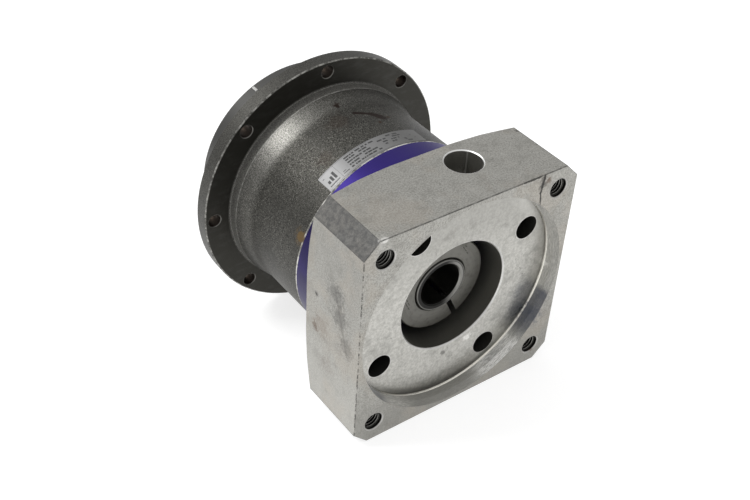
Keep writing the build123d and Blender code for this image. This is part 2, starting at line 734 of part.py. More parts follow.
def preload_nut():
    """Slotted nut on the carrier that preloads the two output bearings."""
    body = sleeve(NUT_R, WEB_R, NUT_SPAN)
    slot = Box(2 * NUT_SLOT_DEPTH, NUT_SPAN[1] - NUT_SPAN[0], NUT_SLOT_WIDTH)
    for index in range(NUT_SLOTS):
        angle = 45 + index * 360 / NUT_SLOTS
        body -= turn_to(angle, Pos(NUT_R, sum(NUT_SPAN) / 2, 0) * slot)
    return body


def outer_spacer_ring():
    """Distance ring between the outer rings of the two output bearings."""
    return sleeve(BEARING_OUTER_R - FILLING, SPACER_R, (REAR_BEARING[1], OUTPUT_BEARING[0]))


def housing_retaining_ring():
    """Circlip in the nose that holds the output bearings' outer rings."""
    span = (NECK_START, NECK_START + HOUSING_CLIP_THICKNESS)
    return circlip(HOUSING_CLIP_INNER_R, HOUSING_CLIP_GROOVE_R - FILLING, span, -90, True)


# ================================================================ all nodes
def all_nodes():
    nodes = {
        "adapter_plate": adapter_plate(),
        "adapter_screws": adapter_screws(),
        "intermediate_ring": intermediate_ring(),
        "ring_screws": ring_screws(),
        "housing": housing(),
        "housing_o_ring": housing_o_ring(),
        "ring_gear": ring_gear(),
        "name_plate": name_plate(),
        "input_shaft": input_shaft(),
        "input_seal": shaft_seal(INPUT_SEAL_R, SEAL_LAND_R, INPUT_SEAL),
        "clamp_ring": clamp_ring(),
        "clamp_screw": clamp_screw(),
        "bearing_retaining_ring": bearing_retaining_ring(),
        "shaft_retaining_ring": shaft_retaining_ring(),
        "output_carrier": output_carrier(),
        "preload_nut": preload_nut(),
        "outer_spacer_ring": outer_spacer_ring(),
        "housing_retaining_ring": housing_retaining_ring(),
        "output_seal": shaft_seal(BEARING_OUTER_R, NECK_R, OUTPUT_SEAL),
    }
    nodes |= ball_bearing(
        "input_bearing", INPUT_BEARING, JOURNAL_R, INPUT_BEARING_R, INPUT_BALL_R, INPUT_BALLS
    )
    nodes |= ball_bearing("output_bearing", OUTPUT_BEARING, SEAT_R, BEARING_OUTER_R, BALL_R, BALLS)
    nodes |= ball_bearing("rear_bearing", REAR_BEARING, SEAT_R, BEARING_OUTER_R, BALL_R, BALLS)
    for index in range(PLANETS):
        number = index + 1
        nodes[f"planet_gear_{number}"] = planet_gear(index)
        nodes[f"planet_pin_{number}"] = planet_pin(index)
        nodes[f"needle_rollers_{number}"] = needle_rollers(index)
        nodes[f"needle_cage_{number}"] = needle_cage(index)
        nodes[f"planet_washers_{number}"] = planet_washers(index)
    return nodes


os.makedirs("parts", exist_ok=True)
for name, shape in all_nodes().items():
    export_step(shape, f"parts/{name}.step")
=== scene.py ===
"""Looks, light and camera for the inline gear reducer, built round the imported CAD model."""

import json
import random
from math import cos, pi, radians, sin

import bmesh
import bpy
from mathutils import Matrix, Vector


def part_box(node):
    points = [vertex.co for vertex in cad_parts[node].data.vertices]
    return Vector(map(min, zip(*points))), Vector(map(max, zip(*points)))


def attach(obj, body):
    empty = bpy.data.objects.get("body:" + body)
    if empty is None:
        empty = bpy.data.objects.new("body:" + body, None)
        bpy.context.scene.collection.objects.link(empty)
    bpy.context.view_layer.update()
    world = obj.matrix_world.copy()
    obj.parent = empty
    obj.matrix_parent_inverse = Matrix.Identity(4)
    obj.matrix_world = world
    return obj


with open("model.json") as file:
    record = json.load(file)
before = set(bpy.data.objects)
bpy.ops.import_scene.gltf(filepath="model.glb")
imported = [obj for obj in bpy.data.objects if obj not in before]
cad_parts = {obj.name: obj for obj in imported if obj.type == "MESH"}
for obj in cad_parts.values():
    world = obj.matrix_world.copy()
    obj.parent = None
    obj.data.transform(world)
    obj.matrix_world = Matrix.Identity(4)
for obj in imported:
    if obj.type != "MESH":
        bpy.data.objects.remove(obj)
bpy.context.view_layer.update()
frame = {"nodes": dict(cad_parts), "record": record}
nodes = frame["nodes"]

MM = 0.001                      # the scene is in metres, lengths below are in millimetres
SEED = 7
random.seed(SEED)


# ---------------------------------------------------------------- places taken from the frame
def box_mm(node):
    """Lowest and highest corner of a CAD node in millimetres."""
    low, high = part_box(node)
    return low / MM, high / MM


plate_low, plate_high = box_mm("adapter_plate")
housing_low, housing_high = box_mm("housing")
label_low, label_high = box_mm("name_plate")
MOTOR_FACE = plate_low.y
PLATE_HALF = plate_high.x
LEFT_FACE = -PLATE_HALF
HOUSING_MOUTH = housing_low.y
NOSE_END = housing_high.y
FLANGE_R = housing_high.z
OUTPUT_FACE = box_mm("output_carrier")[1].y
CLAMP_FACE = box_mm("clamp_ring")[0].y
SLEEVE_FACE = box_mm("input_shaft")[0].y

# ---------------------------------------------------------------- sizes of the object's features
SAWN_CORNER = 2 * PLATE_HALF - 6.4      # |x| + |z| on the plate's corner faces
PILOT_R = 47.5
MOUTH_R = 48.3                          # the pilot's wall opens to this at the motor face
PILOT_FLOOR = MOTOR_FACE + 7.2
PLATE_BORE_R = 25.0
MOTOR_BOLT_R = 4.0
MOTOR_DRILL_END = MOTOR_FACE + 25.0
MOTOR_THREAD = (MOTOR_BOLT_R, 3.38, 1.25, 19.5)     # root and crest radius, pitch, depth
COUNTERBORE_R = 5.2
ACCESS = (11.6, -81.6)                  # x and y of the clamp screw's access hole
ACCESS_R = 7.55
ACCESS_BOTTOM = 20.0
SLEEVE_R = 11.9
SLEEVE_BORE_R = 9.5
BARREL_R = 45.0
SHOULDER_START = -20.6
BOSS_START = -11.8
BOSS_R = 47.2
BOSS_FOOT_R = 48.1                      # where the boss runs into the flange
FLANGE_BACK = -7.0
FLANGE_FACE = 0.0
FLANGE_HOLE_R = 2.75
OUTPUT_THREAD = (3.0, 2.5, 1.0, 10.5)
LABEL_ANGLES = (130.4, 69.0)            # left and right end, degrees from +X towards +Z

# rings of axes parallel to Y: how many, the first one's angle in degrees, the circle's radius
MOTOR_HOLES = (4, 45.0, 57.5)
PLATE_SCREWS = (4, 30.0, 39.6)
FLANGE_HOLES = (8, 0.0, 54.5)
OUTPUT_HOLES = (8, 0.0, 25.0)
PLANETS = (3, 90.0, 20.25)


# ---------------------------------------------------------------- material graph helper
class Graph:
    """A principled material whose textures are placed in millimetres of the shared frame."""

    def __init__(self, name, metallic=0.0, **sockets):
        self.material = bpy.data.materials.new(name)
        self.material.use_nodes = True
        self.tree = self.material.node_tree
        self.shader = self.tree.nodes["Principled BSDF"]
        self.shader.inputs["Metallic"].default_value = metallic
        for socket, value in sockets.items():
            self.shader.inputs[socket.replace("_", " ")].default_value = value
        place = self.tree.nodes.new("ShaderNodeTexCoord").outputs["Object"]
        self.mm = self.vector("MULTIPLY", place, (1 / MM, 1 / MM, 1 / MM))
        split = self.add("ShaderNodeSeparateXYZ", self.mm)
        self.x, self.y, self.z = split.outputs
        self.normal = None

    def add(self, kind, *values, **settings):
        node = self.tree.nodes.new(kind)
        for key, value in settings.items():
            setattr(node, key, value)
        for socket, value in zip(node.inputs, values):
            self.put(socket, value)
        return node

    def put(self, socket, value):
        if isinstance(value, bpy.types.NodeSocket):
            self.tree.links.new(value, socket)
        elif value is not None:
            socket.default_value = value

    def math(self, operation, first, second=None):
        return self.add("ShaderNodeMath", first, second, operation=operation).outputs[0]

    def vector(self, operation, first, second):
        return self.add("ShaderNodeVectorMath", first, second, operation=operation).outputs[0]

    def combine(self, x, y, z):
        return self.add("ShaderNodeCombineXYZ", x, y, z).outputs[0]

    def step(self, value, low, high, start=0.0, end=1.0):
        """A smooth step of the value from low to high."""
        node = self.add("ShaderNodeMapRange", interpolation_type="SMOOTHSTEP")
        for socket, number in zip(node.inputs, (value, low, high, start, end)):
            self.put(socket, number)
        return node.outputs[0]

    def band(self, value, low, high, soft, soft_high=None):
        """1 between low and high, with a soft edge inside each of them."""
        rise = self.step(value, low, low + soft)
        fall = self.step(value, high, high - (soft_high or soft))
        return self.together(fall, rise)

    def together(self, first, *others):
        """The product of several masks and strengths."""
        for other in others:
            first = self.math("MULTIPLY", first, other)
        return first

    def invert(self, value):
        return self.math("SUBTRACT", 1.0, value)

    def noise(self, scale, detail=3.0, rough=0.55, place=None, stretch=None):
        """Noise in 0..1; the scale is in features per millimetre."""
        place = place or self.mm
        if stretch:
            place = self.vector("MULTIPLY", place, stretch)
        node = self.tree.nodes.new("ShaderNodeTexNoise")
        self.put(node.inputs["Vector"], place)
        node.inputs["Scale"].default_value = scale
        node.inputs["Detail"].default_value = detail
        node.inputs["Roughness"].default_value = rough
        return node.outputs["Fac"]

    def scatter(self, scale):
        """One random value in 0..1 per small cell, for specks."""
        node = self.tree.nodes.new("ShaderNodeTexVoronoi")
        self.put(node.inputs["Vector"], self.mm)
        node.inputs["Scale"].default_value = scale
        return self.add("ShaderNodeSeparateXYZ", node.outputs["Color"]).outputs[0]

    def wander(self, scale, reach):
        """A random offset about zero, which makes a line's edges uneven."""
        return self.math("MULTIPLY", self.math("SUBTRACT", self.noise(scale), 0.5), reach)

    def mix(self, factor, first, second):
        node = self.tree.nodes.new("ShaderNodeMix")
        node.data_type = "RGBA"
        self.put(node.inputs["Factor"], factor)
        self.put(node.inputs["A"], first)
        self.put(node.inputs["B"], second)
        return node.outputs["Result"]

    def paint(self, under, tone, *masks):
        """Lays a tone over a colour where every mask is 1."""
        return self.mix(self.together(*masks), under, tone)

    def blend(self, factor, first, second):
        node = self.tree.nodes.new("ShaderNodeMix")
        self.put(node.inputs["Factor"], factor)
        self.put(node.inputs["A"], first)
        self.put(node.inputs["B"], second)
        return node.outputs["Result"]

    def radius(self, centre=(0.0, 0.0)):
        """Distance from a line parallel to Y."""
        along_x = self.math("SUBTRACT", self.x, centre[0])
        along_z = self.math("SUBTRACT", self.z, centre[1])
        square_x = self.math("MULTIPLY", along_x, along_x)
        square_z = self.math("MULTIPLY", along_z, along_z)
        return self.math("SQRT", self.math("ADD", square_x, square_z))

    def turning(self, lines_per_mm, centre=(0.0, 0.0)):
        """Fine rings round a line parallel to Y, as a lathe leaves them."""
        place = self.combine(self.radius(centre), self.y, 0.0)
        return self.noise(lines_per_mm, 2.0, 0.6, place)

    def from_axes(self, count, start, circle_r):
        """Distance to the nearest of a ring of axes parallel to Y."""
        angle = self.math("ARCTAN2", self.z, self.x)
        half = pi / count
        angle = self.math("SUBTRACT", angle, radians(start))
        folded = self.add("ShaderNodeMath", angle, half, -half, operation="WRAP").outputs[0]
        reach = self.radius()
        along = self.math("MULTIPLY", reach, self.math("COSINE", folded))
        aside = self.math("MULTIPLY", reach, self.math("SINE", folded))
        along = self.math("SUBTRACT", along, circle_r)
        square_along = self.math("MULTIPLY", along, along)
        square_aside = self.math("MULTIPLY", aside, aside)
        return self.math("SQRT", self.math("ADD", square_along, square_aside))

    def distance(self, point, place=None):
        node = self.add("ShaderNodeVectorMath", place or self.mm, point, operation="DISTANCE")
        return node.outputs["Value"]

    def segment(self, start, end):
        """Distance from a straight line between two points."""
        start, end = Vector(start), Vector(end)
        run = end - start
        offset = self.vector("SUBTRACT", self.mm, tuple(start))
        dot = self.add("ShaderNodeVectorMath", offset, tuple(run), operation="DOT_PRODUCT")
        share = self.math("DIVIDE", dot.outputs["Value"], run.length_squared)
        share = self.math("MINIMUM", self.math("MAXIMUM", share, 0.0), 1.0)
        node = self.add("ShaderNodeVectorMath", tuple(run), operation="SCALE")
        self.put(node.inputs["Scale"], share)
        return self.distance(node.outputs[0], offset)

    def bump(self, height, depth):
        """Adds relief; the depth is in millimetres."""
        node = self.tree.nodes.new("ShaderNodeBump")
        node.inputs["Strength"].default_value = 1.0
        node.inputs["Distance"].default_value = depth * MM
        self.put(node.inputs["Height"], height)
        if self.normal:
            self.put(node.inputs["Normal"], self.normal)
        self.normal = node.outputs[0]

    def finish(self, colour, rough):
        self.put(self.shader.inputs["Base Color"], colour)
        self.put(self.shader.inputs["Roughness"], rough)
        if self.normal:
            self.put(self.shader.inputs["Normal"], self.normal)
        return self.material


def grey(value, warm=0.0):
    """A grey with a little yellow (positive) or blue (negative)."""
    return (value * (1 + 0.25 * warm), value, value * (1 - warm), 1.0)


# ---------------------------------------------------------------- materials: adapter plate
PLATE_WARM = 0.07               # warmth of the raw aluminium's greys
NICK = grey(0.12, 0.10)
SOOT = (0.040, 0.038, 0.036, 1.0)
BURN = (0.10, 0.055, 0.03, 1.0)
# dark bluish tone of the painted dark reflections on the recess floor and wall
PAINTED_DARK_REFLECTION = (0.10, 0.11, 0.14, 1.0)
# pale tone of the painted glints
GLINT = (0.90, 0.89, 0.86, 1.0)

# centre, reach, strength and tone of each mark: smudges and burns, painted dark reflections and
# painted glints
PLATE_SMUDGES_AND_PAINTED_LIGHT = [
    ((LEFT_FACE, -88.6, 17.8), 9.0, 0.60, SOOT),
    ((LEFT_FACE, -92.0, 8.0), 9.0, 0.60, SOOT),
    ((LEFT_FACE, -96.0, -3.0), 8.0, 0.50, SOOT),
    ((LEFT_FACE, -80.0, -4.0), 9.0, 0.35, BURN),
    ((LEFT_FACE, -75.8, -7.3), 3.6, 0.9, BURN),
    ((LEFT_FACE, -84.0, -22.0), 9.0, 0.25, BURN),
    ((LEFT_FACE, -76.2, 9.0), 1.8, 1.0, SOOT),
    ((31.6, MOTOR_FACE, 48.2), 3.0, 0.95, SOOT),
    ((32.6, MOTOR_FACE, 45.6), 3.0, 0.8, SOOT),
    ((34.4, MOTOR_FACE, 46.5), 2.4, 0.9, BURN),
    ((30.4, MOTOR_FACE, 44.6), 2.4, 0.6, SOOT),
    # painted dark reflections on the recess floor and wall
    ((36.5, PILOT_FLOOR, -24.0), 9.0, 0.65, PAINTED_DARK_REFLECTION),
    ((37.0, PILOT_FLOOR, -14.0), 6.0, 0.6, PAINTED_DARK_REFLECTION),
    ((40.6, -101.5, -25.0), 8.0, 0.9, PAINTED_DARK_REFLECTION),
    ((44.9, -102.5, -16.5), 5.0, 0.8, PAINTED_DARK_REFLECTION),
    ((-1.9, PILOT_FLOOR, -29.0), 2.0, 1.0, SOOT),
    ((42.0, MOTOR_FACE, -44.4), 1.8, 0.9, BURN),
    # a painted glint
    ((10.2, PILOT_FLOOR, -26.6), 3.2, 1.0, GLINT),
    ((42.9, -76.1, PLATE_HALF), 1.6, 1.0, SOOT),
    # painted glints
    ((-41.5, MOTOR_FACE, 49.9), 3.4, 0.9, GLINT),
    ((47.6, -98.4, -3.0), 2.6, 1.0, GLINT),
]

# start, end, half width, strength and tone of each scratch
PLATE_SCRATCHES = [
    ((32.2, MOTOR_FACE, 49.5), (31.2, MOTOR_FACE, 42.0), 0.80, 0.9, SOOT),
    ((31.2, MOTOR_FACE, 42.0), (32.0, MOTOR_FACE, 36.4), 0.50, 0.9, SOOT),
    ((32.0, MOTOR_FACE, 36.4), (30.2, MOTOR_FACE, 34.9), 0.45, 0.9, SOOT),
    ((22.0, MOTOR_FACE, 49.9), (30.0, MOTOR_FACE, 49.9), 0.55, 0.8, SOOT),
    ((LEFT_FACE, -88.0, 20.0), (LEFT_FACE, -96.6, -5.0), 1.0, 0.22, SOOT),
]


def plate_grain(g, speckle, nicks):
    """The mottled grey that all the worn faces share."""
    fine = g.noise(4.0, 2.0, 0.7)
    cloud = g.noise(0.16, 4.0, 0.65)
    dark_grain, light_grain = grey(0.27, PLATE_WARM), grey(0.47, PLATE_WARM)
    dark_speck, light_speck = grey(0.13, 0.08), grey(0.66, 0.05)
    dull_cloud, pale_cloud = grey(0.23, 0.09), grey(0.52, 0.05)
    colour = g.mix(g.step(speckle, 0.34, 0.66), dark_grain, light_grain)
    colour = g.paint(colour, dark_speck, g.step(fine, 0.58, 0.68, 0.0, 0.40))
    colour = g.paint(colour, light_speck, g.step(fine, 0.40, 0.30, 0.0, 0.45))
    colour = g.paint(colour, dull_cloud, g.step(cloud, 0.48, 0.68, 0.0, 0.40))
    colour = g.paint(colour, pale_cloud, g.step(cloud, 0.44, 0.28, 0.0, 0.35))
    return g.paint(colour, NICK, nicks)


def plate_faces(g, colour, speckle):
    """What sets the faces apart: painted shade on the upper left face and painted light on its
    lower part, a front face darker towards its foot, and painted shade on the sawn corners.
    """
    shaded, painted_shading_tone, front_foot_tone = grey(0.20, 0.08), grey(0.60, 0.06), grey(0.24, 0.08)
    brownish, sawn_shade_tone = (0.46, 0.40, 0.33, 1.0), grey(0.105)
    left = g.step(g.x, LEFT_FACE + 0.25, LEFT_FACE + 0.05)
    # painted shade on the upper part of the left face, painted light on its lower part
    colour = g.paint(colour, shaded, left, g.step(g.z, -10.0, 40.0, 0.0, 0.35))
    colour = g.paint(colour, painted_shading_tone, left, g.step(g.z, 0.0, -40.0, 0.0, 0.30))
    # darker towards the foot of the front face
    front = g.step(g.y, MOTOR_FACE + 0.4, MOTOR_FACE + 0.1)
    colour = g.paint(colour, front_foot_tone, front, g.step(g.z, -15.0, -45.0), 0.60)
    colour = g.paint(colour, brownish, g.step(g.noise(0.05, 3.0, 0.6), 0.45, 0.62, 0.0, 0.22))
    reach = g.math("ADD", g.math("ABSOLUTE", g.x), g.math("ABSOLUTE", g.z))
    sawn = g.step(reach, SAWN_CORNER - 0.35, SAWN_CORNER - 0.15)
    patchy = g.blend(g.step(g.noise(0.5, 4.0, 0.7), 0.32, 0.70), 0.70, 0.98)
    # painted shade on the sawn corner faces
    colour = g.paint(colour, sawn_shade_tone, sawn, patchy)
    return colour, g.blend(sawn, g.blend(speckle, 0.40, 0.58), 0.72)


def recess_floor(g, radius, rings, mottle, nicks):
    """Colour of the recess floor: turned, speckled, smeared, grimy round its foot, with painted
    shade towards the top and a painted sheen on its right side.
    """
    dark, light, ring_tone = grey(0.40, 0.07), grey(0.58, 0.06), grey(0.60, 0.05)
    speck_tone, smear_tone, shade_tone = grey(0.15, 0.08), grey(0.22, 0.08), grey(0.26, 0.07)
    grime_tone, bright = grey(0.14, 0.06), grey(0.75, 0.05)
    tone = g.mix(g.step(mottle, 0.34, 0.66), dark, light)
    tone = g.paint(tone, ring_tone, g.step(rings, 0.35, 0.65, 0.0, 0.18))
    tone = g.paint(tone, speck_tone, g.step(g.noise(2.6, 3.0, 0.75), 0.60, 0.70, 0.0, 0.6))
    tone = g.paint(tone, smear_tone, g.step(g.noise(0.14, 4.0, 0.65), 0.50, 0.70, 0.0, 0.45))
    tone = g.paint(tone, NICK, nicks)
    # painted shade towards the top of the floor
    tone = g.paint(tone, shade_tone, g.step(g.z, 5.0, 38.0, 0.0, 0.50))
    foot = g.together(g.step(radius, 43.5, 46.0), g.step(g.z, -28.0, -38.0))
    tone = g.paint(tone, grime_tone, foot, g.blend(mottle, 0.35, 0.75))
    # painted sheen on the right side of the outer floor
    sheen_side = g.together(g.step(radius, 40.0, 46.0), g.step(g.x, 18.0, 34.0))
    return g.paint(tone, bright, sheen_side, 0.35)


def recess_wall(g, mottle):
    """Colour of the recess wall: streaks along the cut, a painted dark reflection, a painted gleam
    and a dull foot.
    """
    dark, light = grey(0.34, 0.07), grey(0.58, 0.06)
    painted_reflection_tone = g.mix(mottle, grey(0.06, -0.12), grey(0.18, -0.12))
    gleam_tone, foot_tone = grey(0.90, 0.03), grey(0.22, 0.08)
    streaks = g.noise(1.3, 4.0, 0.7, stretch=(0.35, 3.0, 0.35))
    tone = g.mix(g.step(streaks, 0.38, 0.62), dark, light)
    # painted dark reflection low on the wall
    patch = g.together(g.step(g.z, -12.0, -16.0), g.step(g.z, -36.0, -30.0))
    tone = g.paint(tone, painted_reflection_tone, patch, 0.8)
    # painted gleam low on the right
    gleam = g.together(g.step(g.z, -33.0, -37.0), g.step(g.x, 10.0, 20.0))
    tone = g.paint(tone, gleam_tone, gleam, g.step(streaks, 0.40, 0.58, 0.2, 0.95))
    foot = g.together(g.step(g.z, -40.0, -45.0), g.step(g.x, 18.0, 8.0))
    return g.paint(tone, foot_tone, foot, g.blend(streaks, 0.3, 0.9))


def plate_recess(g, radius, nicks, colour, rough):
    """The turned pilot recess: its floor, its wall and the relief line between them, painted as a
    bright highlight.
    """
    rings = g.turning(2.2)
    mottle = g.noise(0.9, 4.0, 0.75)
    inside = g.together(
        g.step(radius, MOUTH_R + 0.05, MOUTH_R - 0.05),
        g.step(g.y, MOTOR_FACE, MOTOR_FACE + 0.1),
        g.step(g.y, PILOT_FLOOR + 0.6, PILOT_FLOOR + 0.3),
    )
    floor = g.together(
        g.step(radius, PILOT_R + 0.8, PILOT_R - 0.1),
        g.step(g.y, PILOT_FLOOR - 0.1, PILOT_FLOOR),
    )
    wall = g.together(inside, g.invert(floor))
    relief = g.together(
        g.step(radius, PILOT_R - 0.25, PILOT_R),
        g.step(g.y, PILOT_FLOOR - 0.7, PILOT_FLOOR - 0.3),
        inside,
    )
    colour = g.paint(colour, recess_floor(g, radius, rings, mottle, nicks), floor)
    colour = g.paint(colour, recess_wall(g, mottle), wall)
    # painted highlight along the relief line
    colour = g.paint(colour, grey(0.95, 0.05), relief)
    rough = g.blend(inside, rough, g.blend(rings, 0.28, 0.42))
    dull_wall = g.together(wall, g.invert(relief))
    g.put(g.shader.inputs["Metallic"], g.blend(dull_wall, 1.0, 0.30))
    g.bump(g.together(rings, inside), 0.006)
    return colour, rough


def plate_bore(g, radius, colour):
    """The central bore's turned wall and a painted highlight on its lip."""
    turned = g.turning(3.0)
    wall = g.together(
        g.step(radius, PLATE_BORE_R + 0.3, PLATE_BORE_R + 0.1),
        g.step(g.y, PILOT_FLOOR + 0.3, PILOT_FLOOR + 0.7),
    )
    lip = g.band(radius, PLATE_BORE_R, PLATE_BORE_R + 0.75, 0.15, 0.25)
    colour = g.paint(colour, g.mix(turned, grey(0.17, 0.10), grey(0.28, 0.10)), wall)
    # painted highlight on the bore's lip
    return g.paint(colour, grey(0.75, 0.02), lip, 0.6)


def plate_screw_holes(g, radius, colour):
    """Painted shade on the walls of the tapped motor holes and the counterbores, and painted
    highlights on their rims.
    """
    motor = g.from_axes(*MOTOR_HOLES)
    drilled = g.step(g.y, MOTOR_DRILL_END + 2.0, MOTOR_DRILL_END)
    wall = g.step(motor, MOTOR_BOLT_R + 0.12, MOTOR_BOLT_R + 0.02)
    rim = g.band(motor, MOTOR_BOLT_R + 0.05, MOTOR_BOLT_R + 0.65, 0.15)
    # painted shade down the motor holes, painted highlights on their rims
    colour = g.paint(colour, grey(0.025, 0.08), wall, drilled)
    colour = g.paint(colour, grey(0.75, 0.02), rim, drilled, 0.35)
    sunk = g.from_axes(*PLATE_SCREWS)
    in_recess = g.step(radius, PILOT_R + 0.5, PILOT_R - 0.5)
    wall = g.step(sunk, COUNTERBORE_R + 0.1, COUNTERBORE_R)
    rim = g.band(sunk, COUNTERBORE_R, COUNTERBORE_R + 0.35, 0.1, 0.15)
    # painted shade in the counterbores, painted highlights on their rims
    colour = g.paint(colour, grey(0.11, 0.10), wall, in_recess)
    return g.paint(colour, grey(0.80, 0.02), rim, in_recess, 0.6)


def plate_access_hole(g, colour):
    """The bored wall of the clamp screw's access hole, the painted gleam down it and a painted
    highlight on its rim.
    """
    gap = g.distance((ACCESS[0], ACCESS[1], 0.0), g.combine(g.x, g.y, 0.0))
    upper = g.step(g.z, ACCESS_BOTTOM, ACCESS_BOTTOM + 2.0)
    bored = g.noise(2.6, 2.0, 0.6, g.combine(0.0, 0.0, g.z))
    wall = g.step(gap, ACCESS_R + 0.12, ACCESS_R + 0.02)
    rim = g.band(gap, ACCESS_R, ACCESS_R + 0.5, 0.1)
    gleam_x, gleam_y = ACCESS[0] + 5.8, ACCESS[1] + 4.8
    gleam = g.segment((gleam_x, gleam_y, PLATE_HALF), (gleam_x, gleam_y, ACCESS_BOTTOM))
    colour = g.paint(colour, g.mix(bored, grey(0.24, 0.08), grey(0.44, 0.08)), wall, upper)
    colour = g.paint(colour, grey(0.90, 0.03), g.step(gleam, 0.45, 0.15), 0.6)
    # painted highlight on the hole's rim
    return g.paint(colour, grey(0.80, 0.01), rim, upper)


def plate_marks(g, colour):
    """Oil smudges and burns, painted dark reflections and painted glints, scratches, and the grime
    along the motor face's outer edges.
    """
    smudge_and_glint_noise = g.step(g.noise(0.55, 4.0, 0.7), 0.40, 0.66)
    for centre, reach, strength, tone in PLATE_SMUDGES_AND_PAINTED_LIGHT:
        near = g.step(g.distance(centre), reach, reach * 0.25)
        cover = g.math("MAXIMUM", smudge_and_glint_noise, g.step(near, 0.75, 0.98, 0.0, 0.6))
        colour = g.paint(colour, tone, near, cover, strength)
    wander = g.wander(0.7, 1.2)
    for start, end, width, strength, tone in PLATE_SCRATCHES:
        gap = g.math("ABSOLUTE", g.math("ADD", g.segment(start, end), wander))
        colour = g.paint(colour, tone, g.step(gap, width, width * 0.35), strength)
    at_front = g.step(g.y, MOTOR_FACE + 0.65, MOTOR_FACE + 0.25)
    grime = g.step(g.noise(0.40, 3.0, 0.7), 0.44, 0.58)
    side_rim = g.step(g.math("ABSOLUTE", g.x), PLATE_HALF - 0.45, PLATE_HALF - 0.2)
    top_rim = g.step(g.math("ABSOLUTE", g.z), PLATE_HALF - 0.35, PLATE_HALF - 0.2)
    colour = g.paint(colour, grey(0.05, 0.06), side_rim, at_front, grime, 0.75)
    return g.paint(colour, grey(0.09, 0.05), top_rim, at_front, g.blend(grime, 0.45, 0.8))


def plate_material():
    g = Graph("raw_aluminium", metallic=1.0)
    radius = g.radius()
    speckle = g.noise(1.5, 4.0, 0.75)
    nicks = g.step(g.noise(0.55, 4.0, 0.8, stretch=(1.0, 1.0, 0.45)), 0.60, 0.70, 0.0, 0.55)
    g.bump(speckle, 0.012)
    colour, rough = plate_faces(g, plate_grain(g, speckle, nicks), speckle)
    colour, rough = plate_recess(g, radius, nicks, colour, rough)
    colour = plate_bore(g, radius, colour)
    colour = plate_screw_holes(g, radius, colour)
    colour = plate_access_hole(g, colour)
    return g.finish(plate_marks(g, colour), rough)


# ---------------------------------------------------------------- materials: housing
OCHRE = (0.150, 0.098, 0.042, 1.0)
UMBER = (0.045, 0.026, 0.016, 1.0)
CHIPPED = (0.020, 0.013, 0.010, 1.0)
OILED_HOLE = (0.035, 0.026, 0.020, 1.0)

# angle and Y on the barrel, reach, strength and tone of each stain
HOUSING_STAINS = [
    (158.2, -52.4, 5.0, 0.9, OCHRE),
    (100.0, -27.0, 9.0, 0.30, UMBER),
    (120.0, -40.0, 7.0, 0.20, UMBER),
    (93.6, -17.7, 1.6, 1.0, UMBER),
    (79.2, -32.6, 3.2, 1.0, UMBER),
    (74.5, -33.4, 1.6, 1.0, UMBER),
    (82.6, -36.4, 1.6, 1.0, UMBER),
]

# both ends as angle and Y on the barrel, and the half width of each chip in the paint
HOUSING_CHIPS = [
    ((89.5, -26.0), (81.6, -29.7), 1.2),
    ((81.6, -29.7), (79.2, -32.8), 1.9),
    ((79.6, -31.4), (77.8, -33.6), 2.2),
    ((93.6, -16.6), (93.6, -18.9), 1.25),
    ((95.0, -17.8), (92.2, -17.6), 1.25),
]


def on_barrel(angle, y):
    return (BARREL_R * cos(radians(angle)), y, BARREL_R * sin(radians(angle)))


def housing_casting(g, grain):
    """Coarse blasted grain with bright and dark specks."""
    cloud = g.noise(0.07, 3.0, 0.55)
    sparkle = g.step(g.scatter(3.0), 0.84, 0.97)
    pits = g.step(g.scatter(2.6), 0.16, 0.04)
    colour = g.mix(g.step(grain, 0.36, 0.66), grey(0.022, 0.11), grey(0.115, 0.11))
    colour = g.paint(colour, grey(0.26, 0.08), sparkle, 0.5)
    colour = g.paint(colour, grey(0.012, 0.03), pits, 0.8)
    colour = g.paint(colour, grey(0.05, 0.08), g.step(cloud, 0.42, 0.66, 0.0, 0.35))
    worn = g.together(g.step(g.x, 8.0, 26.0), g.step(g.y, -30.0, -46.0))
    colour = g.paint(colour, grey(0.085, -0.06), worn, 0.45)
    return colour, g.blend(grain, 0.40, 0.60)


def housing_shoulder(g, radius, grain, colour, rough):
    """The flared shoulder with a painted highlight on its lit side, and the dull band of the boss.
    """
    flare = g.together(
        g.step(g.y, SHOULDER_START - 2.0, SHOULDER_START + 3.0),
        g.step(g.y, BOSS_START + 0.2, BOSS_START - 0.4),
    )
    # painted highlight on the lit side of the flare
    painted_shading_tone = g.mix(g.step(grain, 0.36, 0.66), grey(0.09, 0.09), grey(0.34, 0.07))
    lit = g.together(flare, g.step(g.x, 4.0, -20.0, 0.10, 0.55), g.step(g.z, 8.0, 28.0, 0.3, 1.0))
    colour = g.paint(colour, painted_shading_tone, lit)
    rough = g.blend(flare, rough, 0.40)
    boss = g.together(
        g.step(g.y, BOSS_START - 0.1, BOSS_START + 0.3),
        g.step(g.y, FLANGE_BACK + 0.1, FLANGE_BACK - 0.1),
        g.step(radius, BOSS_FOOT_R + 0.2, BOSS_FOOT_R - 0.2),
    )
    boss_tone = g.mix(g.step(grain, 0.36, 0.66), grey(0.045, 0.09), grey(0.20, 0.09))
    colour = g.paint(colour, boss_tone, boss)
    g.put(g.shader.inputs["Metallic"], g.blend(boss, 0.9, 0.25))
    edge = g.band(g.y, BOSS_START - 0.25, BOSS_START + 0.45, 0.15, 0.20)
    broken = g.step(g.noise(0.6, 3.0, 0.7), 0.36, 0.60, 0.15, 0.75)
    outside = g.step(radius, BOSS_R - 0.6, BOSS_R - 0.3)
    return g.paint(colour, grey(0.40, 0.06), edge, outside, broken), rough


